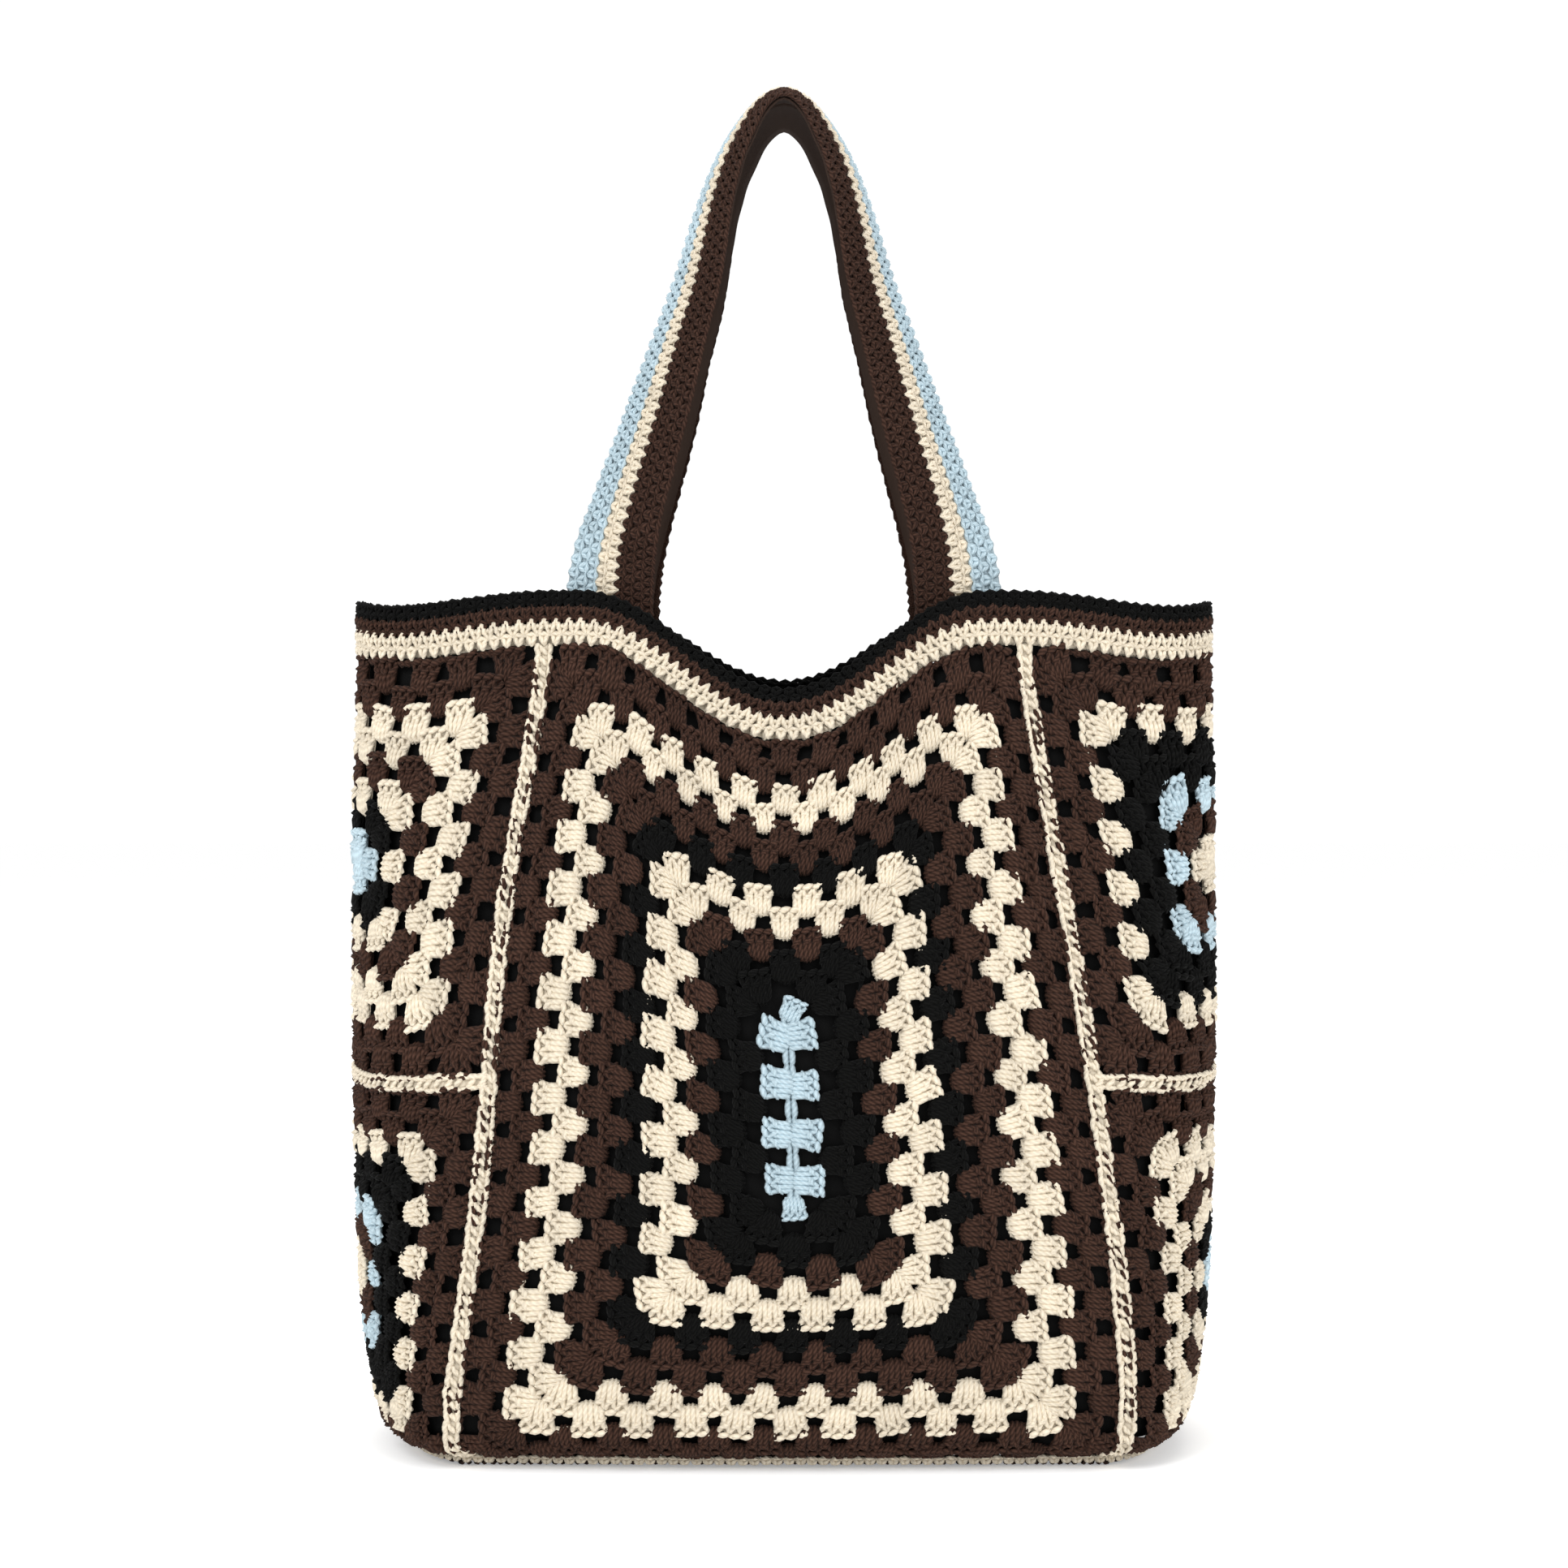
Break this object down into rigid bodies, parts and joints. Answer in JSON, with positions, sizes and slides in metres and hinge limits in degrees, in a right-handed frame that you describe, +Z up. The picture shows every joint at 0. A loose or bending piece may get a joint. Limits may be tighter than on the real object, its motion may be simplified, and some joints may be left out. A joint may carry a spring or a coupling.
{
  "type": "crochet tote bag",
  "caption": "Crochet tote bag of granny squares in brown, black, cream and light blue, standing open with two striped handles.",
  "frame": {"origin": "on the floor under the middle of the bag", "axes": "+Z up to the handles, front panel faces -Y, +X to the viewer's right"},
  "size_m": [0.406, 0.1993, 0.6339],
  "materials": {
    "brown_yarn": "matte knitted yarn",
    "cream_yarn": "matte knitted yarn",
    "black_yarn": "matte knitted yarn",
    "black_cloth": "plain woven cloth",
    "brown_cloth": "plain woven cloth"
  },
  "bodies": {
    "root": {"front_panel": "brown_yarn", "back_panel": "brown_yarn", "gusset_left_lower": "brown_yarn", "gusset_left_upper": "brown_yarn", "gusset_right_lower": "brown_yarn", "gusset_right_upper": "brown_yarn", "base_panel": "brown_yarn", "base_seam": "cream_yarn", "corner_seam_front_left": "cream_yarn", "corner_seam_front_right": "cream_yarn", "corner_seam_back_left": "cream_yarn", "corner_seam_back_right": "cream_yarn", "side_seam_left": "cream_yarn", "side_seam_right": "cream_yarn", "cream_band": "cream_yarn", "brown_band": "brown_yarn", "black_rim": "black_yarn", "bag_lining": "black_cloth", "handle_front": "brown_yarn", "handle_back": "brown_yarn", "handle_lining_front": "brown_cloth", "handle_lining_back": "brown_cloth"}
  },
  "joints": []
}
